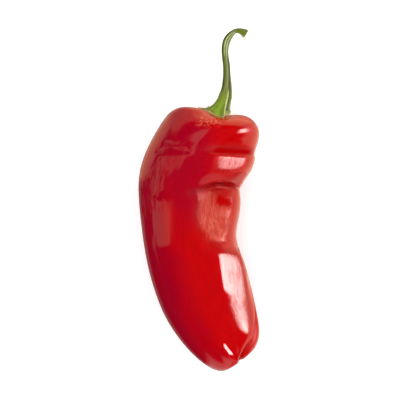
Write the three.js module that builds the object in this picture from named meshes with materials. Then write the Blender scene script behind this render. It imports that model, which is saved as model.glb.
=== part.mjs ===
// A sweet red shepherd pepper, as picked, lying on its side: the fruit, and its stem with the calyx.
// Millimetres. Z is up from the surface it lies on, and +Y runs from the blossom end to the stalk.
import * as THREE from 'three';

// The fruit is drawn by cross-sections, from the pole under the stalk to the pole at the blossom scar.
// left, right: the edges of the outline seen from above. middle: the height of the section's centre.
// rise, drop: how far the skin goes above and below it. lean: how far the upper side sags to the tip.
const SECTIONS = [
  { left: [9.2, 45.2], right: [9.2, 45.2], middle: 27.0, rise: 0.0, drop: 0.0, lean: 0.0 },
  { left: [2.5, 48.9], right: [15.4, 46.6], middle: 27.0, rise: 6.5, drop: 6.5, lean: 1.2 },
  { left: [-6.2, 52.3], right: [22.8, 47.4], middle: 27.0, rise: 14.5, drop: 14.5, lean: 3.0 },
  { left: [-16.2, 50.0], right: [30.0, 45.6], middle: 27.0, rise: 22.5, drop: 22.5, lean: 3.0 },
  { left: [-23.6, 38.5], right: [35.2, 37.6], middle: 27.0, rise: 27.5, drop: 27.6, lean: 1.0 },
  { left: [-29.6, 27.9], right: [32.6, 27.3], middle: 27.0, rise: 28.5, drop: 28.2, lean: 0.0 },
  { left: [-33.4, 17.2], right: [30.0, 17.2], middle: 26.8, rise: 28.5, drop: 27.6, lean: 0.0 },
  { left: [-34.4, 6.6], right: [23.6, 6.6], middle: 26.4, rise: 26.6, drop: 26.8, lean: 0.0 },
  { left: [-33.6, -4.6], right: [23.9, -2.9], middle: 25.9, rise: 25.8, drop: 26.2, lean: 0.0 },
  { left: [-32.4, -15.8], right: [22.2, -12.5], middle: 25.4, rise: 25.5, drop: 25.4, lean: 0.0 },
  { left: [-30.9, -27.6], right: [20.2, -22.0], middle: 24.8, rise: 25.6, drop: 24.6, lean: 0.0 },
  { left: [-28.4, -40.5], right: [24.6, -32.1], middle: 24.3, rise: 25.6, drop: 24.2, lean: 0.0 },
  { left: [-24.6, -53.6], right: [28.6, -43.8], middle: 23.7, rise: 25.0, drop: 24.1, lean: 0.0 },
  { left: [-19.2, -67.2], right: [31.2, -55.6], middle: 23.2, rise: 23.0, drop: 23.9, lean: 0.0 },
  { left: [-10.9, -79.5], right: [33.5, -66.8], middle: 22.8, rise: 20.5, drop: 21.5, lean: 0.0 },
  { left: [-0.8, -90.6], right: [34.9, -78.0], middle: 22.5, rise: 16.5, drop: 16.5, lean: 0.0 },
  { left: [13.9, -100.3], right: [30.8, -86.4], middle: 22.0, rise: 9.5, drop: 8.5, lean: 1.0 },
  { left: [23.5, -89.2], right: [23.5, -89.2], middle: 22.0, rise: 0.0, drop: 0.0, lean: 0.0 },
];

// Soft faces, nearly flat, where the fruit was crowded as it grew. station, facing: where the middle of a
// face is: a section's number and a direction round it in degrees, where 0 is the right edge and 90 faces
// up. azimuth, tilt: which way the face looks, in degrees from the right toward the stalk and from straight
// up. out: how far it stands out from the body. long, round: its half sizes along and round the fruit.
// slant: how far it is turned, in degrees. sharp: how crisply it ends. keep: the roundness left in it.
const FACES = [
  { name: 'roll above the chin', station: 5.8, facing: 53, azimuth: 12, tilt: 37, out: 0.0,
    long: 6.2, round: 9.0, slant: 0, sharp: 5, keep: 0.2 },
  { name: 'waist', station: 8.9, facing: 62, azimuth: 4, tilt: 35, out: -0.9,
    long: 12.0, round: 9.5, slant: 0, sharp: 2.2, keep: 0.3 },
  { name: 'cheek', station: 11.75, facing: 48, azimuth: 0, tilt: 39, out: 1.4,
    long: 14.6, round: 12.6, slant: 11, sharp: 5, keep: 0.15 },
  { name: 'tip', station: 14.95, facing: 95, azimuth: -2, tilt: 34, out: 0.6,
    long: 5.0, round: 5.0, slant: 0, sharp: 3, keep: 0.1 },
  { name: 'left flank', station: 8.9, facing: 122, azimuth: 181, tilt: 35, out: 0.2,
    long: 15.0, round: 9.0, slant: 0, sharp: 6, keep: 0.3 },
];

// Folds, grooves and swellings that run along a path over the skin. Each point of a path is a section's
// number, a direction in degrees and a strength. wideRight, wideLeft: how wide the form is in mm on the
// right and on the left hand of its run, seen from outside. height is out from the skin, and pull carries
// the skin toward the tip, both in mm.
const FORMS = [
  { name: 'valley under the shoulders', wideRight: 2.4, wideLeft: 8.0, sharp: 1.35, height: -2.9, pull: 0,
    path: [[5.2, 150, 0], [5.15, 125, 0.2], [5.15, 100, 0.1], [5.17, 85, 0.4], [5.21, 72, 0.9],
      [5.24, 58, 1], [5.28, 42, 0.9], [5.3, 25, 0.5], [5.28, -20, 0.2], [5.2, -60, 0]] },
  { name: 'crest of the right shoulder', wideRight: 3.2, wideLeft: 3.6, sharp: 2.0, height: 1.3, pull: 0,
    path: [[3.72, 72, 0], [3.78, 44, 1], [3.78, 24, 0.9], [3.72, 4, 0]] },
  { name: 'roll above the chin', wideRight: 5.6, wideLeft: 6.0, sharp: 2.4, height: 1.0, pull: 0,
    path: [[5.8, 40, 0], [5.85, 20, 0.6], [5.95, -15, 0.4], [6.1, -50, 0]] },
  { name: 'fold under the chin', wideRight: 4.6, wideLeft: 7.5, sharp: 1.5, height: -3.2, pull: 0,
    path: [[7.35, 88, 0], [7.15, 79, 0.5], [6.95, 70, 0.9], [6.9, 58, 1], [6.92, 45, 1], [7, 28, 1],
      [7.1, 10, 1], [7.25, -12, 0.7], [7.5, -34, 0.3], [7.75, -55, 0]] },
  { name: 'lip of the chin', wideRight: 3.2, wideLeft: 1.8, sharp: 2.0, height: -0.2, pull: 1.3,
    path: [[6.95, 80, 0], [6.66, 64, 0.8], [6.62, 45, 1], [6.7, 20, 0.7], [6.85, -10, 0.4],
      [7.05, -34, 0]] },
  { name: 'slope below the fold', wideRight: 8.5, wideLeft: 1.0, sharp: 1.5, height: -1.8, pull: 0,
    path: [[7.3, 92, 0], [7.02, 74, 0.6], [6.93, 60, 1], [6.94, 48, 1], [7.0, 30, 0.3], [7.1, 18, 0]] },
  { name: 'groove between the front and the rear lobe', wideRight: 2.6, wideLeft: 2.2,
    sharp: 1.5, height: -1.6, pull: 0,
    path: [[10.3, 2, 0], [11.5, -2, 0.25], [12.6, 3, 0.6], [13.6, 8, 0.8], [14.4, 22, 1], [15, 38, 1.2],
      [15.6, 62, 1.6], [16.2, 80, 1.2]] },
  { name: 'groove along the underside', wideRight: 6.5, wideLeft: 6.5, sharp: 2.0, height: -2.6, pull: 0,
    path: [[0.8, 266, 0], [2.5, 267, 1], [5, 268, 0.8], [7.5, 272, 0.4], [9.5, 276, 0]] },
  { name: 'resting swell of the right shoulder', wideRight: 7.5, wideLeft: 7.5,
    sharp: 2.0, height: 2.3, pull: 0,
    path: [[3.9, 298, 0], [4.9, 295, 1], [5.8, 293, 0]] },
  { name: 'swell of the left shoulder', wideRight: 7.5, wideLeft: 7.5, sharp: 2.0, height: 1.0, pull: 0,
    path: [[3.7, 240, 0], [4.6, 242, 1], [5.6, 244, 0]] },
  { name: 'resting swell of the belly', wideRight: 8.5, wideLeft: 8.5, sharp: 2.0, height: 2.0, pull: 0,
    path: [[6.8, 252, 0], [8, 255, 1], [9.2, 257, 0]] },
  { name: 'resting swell near the tip', wideRight: 8.0, wideLeft: 8.0, sharp: 2.0, height: 0.8, pull: 0,
    path: [[12, 268, 0], [12.9, 270, 1], [13.9, 272, 0]] },
  { name: 'sag in front of the stalk', wideRight: 14.0, wideLeft: 14.0, sharp: 2.0, height: -1.5, pull: 0,
    path: [[0.5, 66, 0], [1.5, 66, 1], [2.6, 68, 0.6], [3.6, 70, 0]] },
  { name: 'rise to the left of the stalk', wideRight: 12.0, wideLeft: 12.0,
    sharp: 2.0, height: 1.0, pull: 0,
    path: [[0.5, 122, 0], [1.5, 122, 1], [2.7, 124, 0]] },
  { name: 'dimple of the blossom scar', wideRight: 2.0, wideLeft: 2.0, sharp: 1.6, height: -2.0, pull: 0,
    path: [[15.9, 70, 1], [16.4, 80, 1], [17, 90, 1]] },
];
const SECTION_SPACING = 10.5; // mm along the skin from one section to the next
const DEGREE_SPACING = 0.47; // mm round the skin for each degree
const CURVE_STEPS = 6; // straight steps in each span of a path
const NEAR_POLE = 0.02; // the nearest that a slope is taken to a pole, in sections

// The long lobes: shallow dips of the section, as a share of its radius.
const LOBE_DIPS = [
  { facing: 158, wide: 26, depth: 0.035, from: 2, full: 5, ease: 13, until: 16.5 },
  { facing: 272, wide: 24, depth: 0.05, from: 1, full: 4, ease: 10, until: 16.8 },
];

// The stem grows out of the dip between the shoulders, bends to and fro, and hooks over at the cut.
const STALK_LINE = [
  [9.2, 46.0, 27.0], [13.2, 53.6, 28.0], [15.1, 59.8, 29.2], [15.8, 66.5, 30.4], [15.7, 73.2, 31.2],
  [14.7, 78.8, 31.6], [14.0, 83.3, 31.6], [14.8, 87.6, 31.2], [16.8, 90.9, 30.6], [20.4, 93.7, 30.0],
  [23.5, 93.5, 29.6], [26.3, 92.0, 29.2], [29.0, 90.3, 29.0],
];
// Half the stalk's thickness at each of those points, in the plane of its bends and across it.
const HALF_WIDTH = [4.6, 4.2, 2.65, 2.1, 1.9, 1.8, 1.85, 2.0, 1.7, 1.15, 1.7, 2.8, 3.2];
const HALF_DEPTH = [4.2, 3.6, 2.5, 2.1, 1.9, 1.8, 1.8, 1.8, 1.8, 1.8, 2.1, 2.6, 2.9];
const CUT_AT = 11; // the point of the line at the cut end
const FLARE_UNTIL = 1.7; // the point of the line where the calyx has become the stalk
const RIBS = 5;
const RIB_SHARE = 0.09; // their height, as a share of the stalk's half thickness
const RIB_FACING = 100; // the direction of one of them, in degrees
const RIBS_FADE = { from: 9.5, until: 11.2 }; // the points of the line where they run out
// Longer grooves and ribs of the stalk: direction and width in degrees, height in mm, and the points of
// the line where each starts, is full, eases off and ends.
const STALK_RELIEF = [
  { name: 'deep slot', facing: 40, wide: 13, height: -0.85, from: 0.6, full: 0.9, ease: 2.6, until: 4.2 },
  { name: 'side rib', facing: 8, wide: 15, height: 0.95, from: 0.72, full: 0.8, ease: 2.2, until: 3.2 },
  { name: 'groove', facing: 112, wide: 14, height: -0.35, from: 2.4, full: 3.5, ease: 8.5, until: 10 },
];
// The cut face, from its edge to its hollowed middle: share of the half thickness, and how far out.
const CUT_FACE = [[0.9, 0.25], [0.6, 0], [0, -0.4]];

// The calyx lies on the shoulder like a skirt, with six corners that end in small teeth.
// facing: degrees. reach: how far the corner goes out, in sections. curl: how far its tooth lifts, in mm.
const CORNERS = [
  { facing: 5, reach: 0.3, curl: 1.6 },
  { facing: 62, reach: 0.42, curl: 0 },
  { facing: 118, reach: 0.05, curl: 0 },
  { facing: 180, reach: 0.25, curl: 0.8 },
  { facing: 245, reach: 0.35, curl: 4.5 },
  { facing: 308, reach: 0.3, curl: 0.5 },
];
const RIM_REACH = 1.12; // the rim between the corners, in sections from the pole
const CORNER_WIDTH = 15; // degrees
const TOOTH_WIDTH = 9; // degrees
const RIM_THICKNESS = 0.9;
const RIM_UNDERCUT = 0.97; // where the underside ends, as a share of the way to the rim
const UNDERCUT_CURL = 0.85; // how much of a tooth's lift the underside has there
const RIM_TOP = 0.96; // where the upper side starts
const TOP_CURL = 0.9; // how much of a tooth's lift it has there
const FLARE_KEEP = 0.72; // how far the upper side stays down on the shoulder, as a share of the reach
const FLARE_SKEW = 0.25; // how much further it does so on the right than on the left
const FLARE_HEIGHT = 1.7; // its height there
const FLARE_RUN = 5.5; // how straight it runs into the stalk
const SKIRT_GAP = 0.35; // the clear space between the calyx and the fruit

// How finely the surfaces are divided.
const FRUIT_FACETS = 64;
const STEM_FACETS = 24;
const RINGS = [[0, 0], [0.25, 2], [6.2, 20], [7.6, 31], [14.6, 48], [16.8, 55], [17, 56]];
const UNDER_RINGS = 5;
const FLARE_RINGS = 9;
const STALK_RINGS = 26;

const LAST = SECTIONS.length - 1;
const radians = THREE.MathUtils.degToRad;

// Rises from 0 to 1 between from and full, and falls back to 0 between ease and until.
function windowed(x, form) {
  const rising = THREE.MathUtils.smoothstep(x, form.from, form.full);
  return rising * (1 - THREE.MathUtils.smoothstep(x, form.ease, form.until));
}

// The signed angle from one direction to another, from -180 to 180 degrees.
function turn(degrees, facing) {
  return THREE.MathUtils.euclideanModulo(degrees - facing + 180, 360) - 180;
}

function bell(distance, width) {
  return Math.exp(-((distance / width) ** 2));
}

// Each section's middle, half span to the right edge, half span upward, and the skew of its upper side.
const CONTROLS = SECTIONS.map((section) => {
  const left = new THREE.Vector3(...section.left, section.middle);
  const right = new THREE.Vector3(...section.right, section.middle);
  return {
    middle: left.clone().add(right).multiplyScalar(0.5),
    across: right.clone().sub(left).multiplyScalar(0.5),
    up: new THREE.Vector3(0, 0, (section.rise + section.drop) / 2),
    skew: new THREE.Vector3(0, -section.lean, (section.rise - section.drop) / 2),
  };
});
// The skew passes through zero at both poles, where the section has no upper side.
CONTROLS[0].skew.copy(CONTROLS[1].skew).multiplyScalar(-0.5);
CONTROLS[LAST].skew.copy(CONTROLS[LAST - 1].skew).multiplyScalar(-0.5);

// A uniform cubic B-spline through one value of the sections. Past a pole the surface comes back on
// its other side, so the spans change sign there and the poles stay smooth.
function blended(key, station, changesSign) {
  const first = Math.min(Math.floor(station), LAST - 1);
  const f = station - first;
  const weights = [
    (1 - f) ** 3 / 6,
    (3 * f ** 3 - 6 * f ** 2 + 4) / 6,
    (-3 * f ** 3 + 3 * f ** 2 + 3 * f + 1) / 6,
    f ** 3 / 6,
  ];
  const sum = new THREE.Vector3();
  weights.forEach((weight, k) => {
    const index = first + k - 1;
    const mirrored = index < 0 || index > LAST;
    const inside = index > LAST ? 2 * LAST - index : Math.abs(index);
    const sign = mirrored && changesSign ? -1 : 1;
    sum.addScaledVector(CONTROLS[inside][key], weight * sign);
  });
  return sum;
}

// The smooth body, before any fold.
function body(station, degrees) {
  let dip = 0;
  for (const lobe of LOBE_DIPS) {
    const share = windowed(station, lobe);
    dip += lobe.depth * share * bell(turn(degrees, lobe.facing), lobe.wide);
  }
  const sine = Math.sin(radians(degrees));
  return blended('middle', station, false)
    .addScaledVector(blended('across', station, true), (1 - dip) * Math.cos(radians(degrees)))
    .addScaledVector(blended('up', station, true), (1 - dip) * sine)
    .addScaledVector(blended('skew', station, false), sine * sine);
}

function skinNormal(station, degrees) {
  const step = NEAR_POLE;
  const halfDegree = 0.5;
  const here = THREE.MathUtils.clamp(station, NEAR_POLE, LAST - NEAR_POLE);
  const before = body(Math.max(here - step, NEAR_POLE), degrees);
  const after = body(Math.min(here + step, LAST - NEAR_POLE), degrees);
  const round = body(here, degrees + halfDegree).sub(body(here, degrees - halfDegree));
  return round.cross(after.sub(before)).normalize();
}

function tipward(station) {
  const step = 0.05;
  const after = blended('middle', Math.min(station + step, LAST), false);
  return after.sub(blended('middle', Math.max(station - step, 0), false)).normalize();
}

// Each face's plane.
for (const face of FACES) {
  const tilt = radians(face.tilt);
  const azimuth = radians(face.azimuth);
  const toward = new THREE.Vector3(Math.cos(azimuth), Math.sin(azimuth), 0).multiplyScalar(Math.sin(tilt));
  toward.z = Math.cos(tilt);
  const middle = body(face.station, face.facing);
  middle.addScaledVector(skinNormal(face.station, face.facing), face.out);
  face.plane = new THREE.Plane().setFromNormalAndCoplanarPoint(toward, middle);
}

// Brings a point of the body toward the planes of the faces that it is on.
function pressFaces(point, station, degrees) {
  for (const face of FACES) {
    const cosine = Math.cos(radians(face.slant));
    const sine = Math.sin(radians(face.slant));
    const ahead = (station - face.station) * SECTION_SPACING;
    const aside = turn(degrees, face.facing) * DEGREE_SPACING;
    const offLong = Math.abs(ahead * cosine + aside * sine) / face.long;
    const offRound = Math.abs(aside * cosine - ahead * sine) / face.round;
    const share = (1 - face.keep) * Math.exp(-(offLong ** face.sharp) - offRound ** face.sharp);
    point.addScaledVector(face.plane.normal, -share * face.plane.distanceToPoint(point));
  }
  return point;
}

// The smooth curve through four points in turn, at a share of the way from the second to the third.
function catmullRom([a, b, c, d], f) {
  const point = b.clone().multiplyScalar(2);
  point.addScaledVector(c.clone().sub(a), f);
  point.addScaledVector(a, 2 * f * f - f ** 3);
  point.addScaledVector(b, 3 * f ** 3 - 5 * f * f);
  point.addScaledVector(c, 4 * f * f - 3 * f ** 3);
  point.addScaledVector(d, f ** 3 - f * f);
  return point.multiplyScalar(0.5);
}

// Each path becomes a smooth curve of short straight steps.
for (const form of FORMS) {
  const points = form.path.map((point) => new THREE.Vector3(...point));
  const ends = [points[0].clone().multiplyScalar(2).sub(points[1]),
    points.at(-1).clone().multiplyScalar(2).sub(points.at(-2))];
  const through = [ends[0], ...points, ends[1]];
  form.curve = [];
  for (let i = 0; i < points.length - 1; i += 1) {
    for (let step = 0; step < CURVE_STEPS; step += 1) {
      form.curve.push(catmullRom(through.slice(i, i + 4), step / CURVE_STEPS));
    }
  }
  form.curve.push(points.at(-1));
}

// How strongly a form is felt at a place on the skin: its strength on its path, fading to each side.
function felt(form, station, degrees) {
  let nearest = Infinity;
  let strength = 0;
  let side = 0;
  for (let i = 0; i < form.curve.length - 1; i += 1) {
    const a = form.curve[i];
    const b = form.curve[i + 1];
    const spanX = (b.x - a.x) * SECTION_SPACING;
    const spanY = (b.y - a.y) * DEGREE_SPACING;
    const toX = (station - a.x) * SECTION_SPACING;
    const toY = turn(degrees, a.y) * DEGREE_SPACING;
    const share = THREE.MathUtils.clamp((toX * spanX + toY * spanY) / (spanX ** 2 + spanY ** 2), 0, 1);
    const offX = toX - share * spanX;
    const offY = toY - share * spanY;
    const distance = Math.hypot(offX, offY);
    if (distance < nearest) {
      nearest = distance;
      strength = a.z + (b.z - a.z) * share;
      side = spanX * offY - spanY * offX;
    }
  }
  const width = side > 0 ? form.wideRight : form.wideLeft;
  return strength * Math.exp(-((nearest / width) ** form.sharp));
}

// The finished skin of the fruit, before it settles on the surface.
function skin(station, degrees) {
  const point = pressFaces(body(station, degrees), station, degrees);
  const normal = skinNormal(station, degrees);
  const along = tipward(station);
  for (const form of FORMS) {
    const share = felt(form, station, degrees);
    point.addScaledVector(normal, share * form.height);
    point.addScaledVector(along, share * form.pull);
  }
  return point;
}

// A sphere's vertices, moved to the places that a function gives for a ring and a direction.
function remapSphere(facets, rings, place) {
  const geometry = new THREE.SphereGeometry(1, facets, rings);
  const position = geometry.attributes.position;
  const uv = geometry.attributes.uv;
  for (let i = 0; i < position.count; i += 1) {
    const ring = Math.round((1 - uv.getY(i)) * rings);
    const facet = i % (facets + 1);
    const point = place(ring, 180 - (360 * facet) / facets);
    position.setXYZ(i, point.x, point.y, point.z);
  }
  geometry.computeVertexNormals();
  return geometry;
}

// The section number of a ring: the rings lie closer together at the chin's fold.
function stationOf(ring) {
  const next = Math.max(RINGS.findIndex(([, at]) => at >= ring), 1);
  const [fromStation, fromRing] = RINGS[next - 1];
  const [toStation, toRing] = RINGS[next];
  return THREE.MathUtils.mapLinear(ring, fromRing, toRing, fromStation, toStation);
}

// The fruit: its skin, let down until it rests on three low places, where it lies flat.
function makeFruit() {
  const rings = RINGS.at(-1)[1];
  const geometry = remapSphere(FRUIT_FACETS, rings, (ring, degrees) => {
    const atPole = ring === 0 || ring === rings;
    const point = skin(stationOf(ring), atPole ? 0 : degrees);
    point.z = Math.max(point.z, 0);
    return point;
  });
  const material = new THREE.MeshStandardMaterial({ color: 0xc4080c, roughness: 0.18, metalness: 0 });
  return named('fruit', geometry, material);
}

// A smooth value at a place along a list of numbers or points.
function along(list, index) {
  const i = THREE.MathUtils.clamp(Math.floor(index), 0, list.length - 2);
  const at = (k) => {
    const value = list[THREE.MathUtils.clamp(k, 0, list.length - 1)];
    return Array.isArray(value) ? new THREE.Vector3(...value) : new THREE.Vector3(value, 0, 0);
  };
  return catmullRom([at(i - 1), at(i), at(i + 1), at(i + 2)], index - i);
}

// The stalk's own directions at a place: forward along it, to its right, and up.
function stalkFrame(index) {
  const step = 0.05;
  const forward = along(STALK_LINE, index + step).sub(along(STALK_LINE, index - step)).normalize();
  const right = forward.clone().cross(new THREE.Vector3(0, 0, 1)).normalize();
  return { forward, right, up: right.clone().cross(forward) };
}

// The stalk's surface: oval and ribbed, with its longer grooves and ribs.
function stalk(index, degrees) {
  const { right, up } = stalkFrame(index);
  const ribsLeft = 1 - THREE.MathUtils.smoothstep(index, RIBS_FADE.from, RIBS_FADE.until);
  const rib = 1 + RIB_SHARE * Math.cos(radians(RIBS * (degrees - RIB_FACING))) * ribsLeft;
  let relief = 0;
  for (const form of STALK_RELIEF) {
    relief += form.height * bell(turn(degrees, form.facing), form.wide) * windowed(index, form);
  }
  const halfWidth = along(HALF_WIDTH, index).x * rib + relief;
  const halfDepth = along(HALF_DEPTH, index).x * rib + relief;
  return along(STALK_LINE, index)
    .addScaledVector(right, halfWidth * Math.cos(radians(degrees)))
    .addScaledVector(up, halfDepth * Math.sin(radians(degrees)));
}

// A place over the fruit's shoulder: a share of the way out to the calyx's rim, at a height.
function overShoulder(share, degrees, height, curlShare) {
  let reach = RIM_REACH;
  let curl = 0;
  for (const corner of CORNERS) {
    reach += corner.reach * bell(turn(degrees, corner.facing), CORNER_WIDTH);
    curl += corner.curl * bell(turn(degrees, corner.facing), TOOTH_WIDTH);
  }
  const station = Math.max(reach * share, NEAR_POLE);
  const lift = SKIRT_GAP + height + curl * curlShare;
  return skin(station, degrees).addScaledVector(skinNormal(station, degrees), lift);
}

// The upper side of the calyx: from the rim it sweeps in over the shoulder and up into the stalk.
function flare(share, degrees) {
  const keep = FLARE_KEEP + FLARE_SKEW * Math.cos(radians(degrees));
  const root = stalk(FLARE_UNTIL, degrees);
  const sweep = new THREE.CubicBezierCurve3(
    overShoulder(RIM_TOP, degrees, RIM_THICKNESS, TOP_CURL),
    overShoulder(keep, degrees, FLARE_HEIGHT, 0),
    root.clone().addScaledVector(stalkFrame(FLARE_UNTIL).forward, -FLARE_RUN),
    root,
  );
  return sweep.getPoint(share);
}

// The stem: the calyx's underside, its rim and upper side, the stalk, and the hollowed cut face.
function stemPoint(ring, degrees) {
  const rim = UNDER_RINGS;
  const flareEnd = rim + 1 + FLARE_RINGS;
  const stalkEnd = flareEnd + STALK_RINGS;
  if (ring === 0) {
    return overShoulder(0, 0, 0, 0);
  }
  if (ring < rim) {
    const share = ring / (rim - 1);
    return overShoulder(RIM_UNDERCUT * share, degrees, 0, UNDERCUT_CURL * share ** 4);
  }
  if (ring === rim) {
    return overShoulder(1, degrees, RIM_THICKNESS / 2, 1);
  }
  if (ring <= flareEnd) {
    return flare((ring - rim - 1) / FLARE_RINGS, degrees);
  }
  if (ring <= stalkEnd) {
    const share = (ring - flareEnd) / STALK_RINGS;
    return stalk(THREE.MathUtils.lerp(FLARE_UNTIL, CUT_AT, share), degrees);
  }
  const centre = along(STALK_LINE, CUT_AT);
  const { forward } = stalkFrame(CUT_AT);
  const [inset, out] = CUT_FACE[ring - stalkEnd - 1];
  return centre.clone().lerp(stalk(CUT_AT, degrees), inset).addScaledVector(forward, out);
}

function makeStem() {
  const rings = UNDER_RINGS + 1 + FLARE_RINGS + STALK_RINGS + CUT_FACE.length;
  const geometry = remapSphere(STEM_FACETS, rings, (ring, degrees) => stemPoint(rings - ring, degrees));
  const material = new THREE.MeshStandardMaterial({ color: 0x6b7a22, roughness: 0.5, metalness: 0 });
  return named('stem', geometry, material);
}

function named(name, geometry, material) {
  const mesh = new THREE.Mesh(geometry, material);
  mesh.name = name;
  return mesh;
}

const pepper = new THREE.Group();
pepper.add(makeFruit(), makeStem());

// The origin is under the middle of the whole pepper, on the surface it lies on.
const box = new THREE.Box3().setFromObject(pepper);
const middle = box.getCenter(new THREE.Vector3());
pepper.position.set(-middle.x, -middle.y, -box.min.z);
pepper.updateMatrixWorld(true);

export default pepper;
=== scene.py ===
# A sweet red shepherd pepper, as picked, lying on its side and seen from above in a small studio.
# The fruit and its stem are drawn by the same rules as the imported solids, finer and with small creases.
import math
from collections import namedtuple

import bpy
import numpy as np
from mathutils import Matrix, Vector


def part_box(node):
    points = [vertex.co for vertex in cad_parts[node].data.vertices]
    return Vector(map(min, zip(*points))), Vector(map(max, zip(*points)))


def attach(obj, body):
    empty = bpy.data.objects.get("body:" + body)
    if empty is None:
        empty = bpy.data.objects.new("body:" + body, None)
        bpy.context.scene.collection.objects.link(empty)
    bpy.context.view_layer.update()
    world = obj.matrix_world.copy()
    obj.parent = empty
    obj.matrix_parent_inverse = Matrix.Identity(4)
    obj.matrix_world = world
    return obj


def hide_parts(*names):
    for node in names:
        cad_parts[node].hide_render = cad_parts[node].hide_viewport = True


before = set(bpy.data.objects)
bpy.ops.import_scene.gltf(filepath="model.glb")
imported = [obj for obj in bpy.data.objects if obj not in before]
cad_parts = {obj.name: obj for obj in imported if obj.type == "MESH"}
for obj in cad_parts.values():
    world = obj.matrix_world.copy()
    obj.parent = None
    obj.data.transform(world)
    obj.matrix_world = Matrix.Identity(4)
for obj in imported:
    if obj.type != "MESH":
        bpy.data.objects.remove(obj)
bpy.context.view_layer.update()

MM = 0.001

# The photograph's frame: 400 pixels on each side, of which each covers this much at the fruit's
# widest height. The middle of the frame lies a little beside the drawing's own zero.
FRAME_PIXELS = 400
PIXEL = 0.56 * MM
FRAME_CENTRE = (0.84 * MM, -0.70 * MM)
WIDEST_HEIGHT = 27 * MM

# The fruit is drawn by cross-sections, from the pole under the stalk to the pole at the blossom scar,
# in mm. left, right: the edges of the outline seen from above. middle: the height of the section's
# centre. rise, drop: how far the skin goes above and below it. lean: how far the upper side sags
# toward the tip.
Section = namedtuple("Section", "left right middle rise drop lean")
SECTIONS = [
    Section((9.2, 45.2), (9.2, 45.2), 27.0, 0.0, 0.0, 0.0),
    Section((2.5, 48.9), (15.4, 46.6), 27.0, 6.5, 6.5, 1.2),
    Section((-6.2, 52.3), (22.8, 47.4), 27.0, 14.5, 14.5, 3.0),
    Section((-16.2, 50.0), (30.0, 45.6), 27.0, 22.5, 22.5, 3.0),
    Section((-23.6, 38.5), (35.2, 37.6), 27.0, 27.5, 27.6, 1.0),
    Section((-29.6, 27.9), (32.6, 27.3), 27.0, 28.5, 28.2, 0.0),
    Section((-33.4, 17.2), (30.0, 17.2), 26.8, 28.5, 27.6, 0.0),
    Section((-34.4, 6.6), (23.6, 6.6), 26.4, 26.6, 26.8, 0.0),
    Section((-33.6, -4.6), (23.9, -2.9), 25.9, 25.8, 26.2, 0.0),
    Section((-32.4, -15.8), (22.2, -12.5), 25.4, 25.5, 25.4, 0.0),
    Section((-30.9, -27.6), (20.2, -22.0), 24.8, 25.6, 24.6, 0.0),
    Section((-28.4, -40.5), (24.6, -32.1), 24.3, 25.6, 24.2, 0.0),
    Section((-24.6, -53.6), (28.6, -43.8), 23.7, 25.0, 24.1, 0.0),
    Section((-19.2, -67.2), (31.2, -55.6), 23.2, 23.0, 23.9, 0.0),
    Section((-10.9, -79.5), (33.5, -66.8), 22.8, 20.5, 21.5, 0.0),
    Section((-0.8, -90.6), (34.9, -78.0), 22.5, 16.5, 16.5, 0.0),
    Section((13.9, -100.3), (30.8, -86.4), 22.0, 9.5, 8.5, 1.0),
    Section((23.5, -89.2), (23.5, -89.2), 22.0, 0.0, 0.0, 0.0),
]
LAST = len(SECTIONS) - 1

# The long lobes: shallow dips of the section, as a share of its radius. Directions round a section
# are in degrees: 0 is the right edge, 90 faces up, 180 is the left edge. start, full, ease, end: the
# sections where a dip starts, is full, eases off and ends.
Dip = namedtuple("Dip", "facing wide depth start full ease end")
LOBE_DIPS = [
    Dip(158, 26, 0.035, 2, 5, 13, 16.5),
    Dip(272, 24, 0.05, 1, 4, 10, 16.8),
]

# Soft faces, nearly flat, where the fruit was crowded as it grew. station, facing: where the middle of
# the face is. azimuth, tilt: which way it looks, from the right toward the stalk and from straight up.
# out: how far it stands out from the body, in mm. long, round: its half sizes along and round the
# fruit, in mm. slant: how far it is turned. sharp: how crisply it ends. keep: the roundness left in it.
Face = namedtuple("Face", "station facing azimuth tilt out long round slant sharp keep")
FACES = {
    "roll above the chin": Face(5.8, 56, 5, 37, 0.2, 8.5, 12.0, 0, 2.4, 0),
    "waist": Face(8.9, 65, 4, 35, -0.9, 12.0, 11.0, 0, 2.2, 0.3),
    "cheek": Face(11.58, 48, 2, 39, 1.4, 12.8, 12.6, 11, 5, 0.15),
    "tip": Face(14.95, 93, 10, 38, 0.6, 6.4, 6.2, 0, 3, 0.1),
    "left flank": Face(8.9, 122, 181, 35, 0.2, 15.0, 9.0, 0, 6, 0.3),
}

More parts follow.
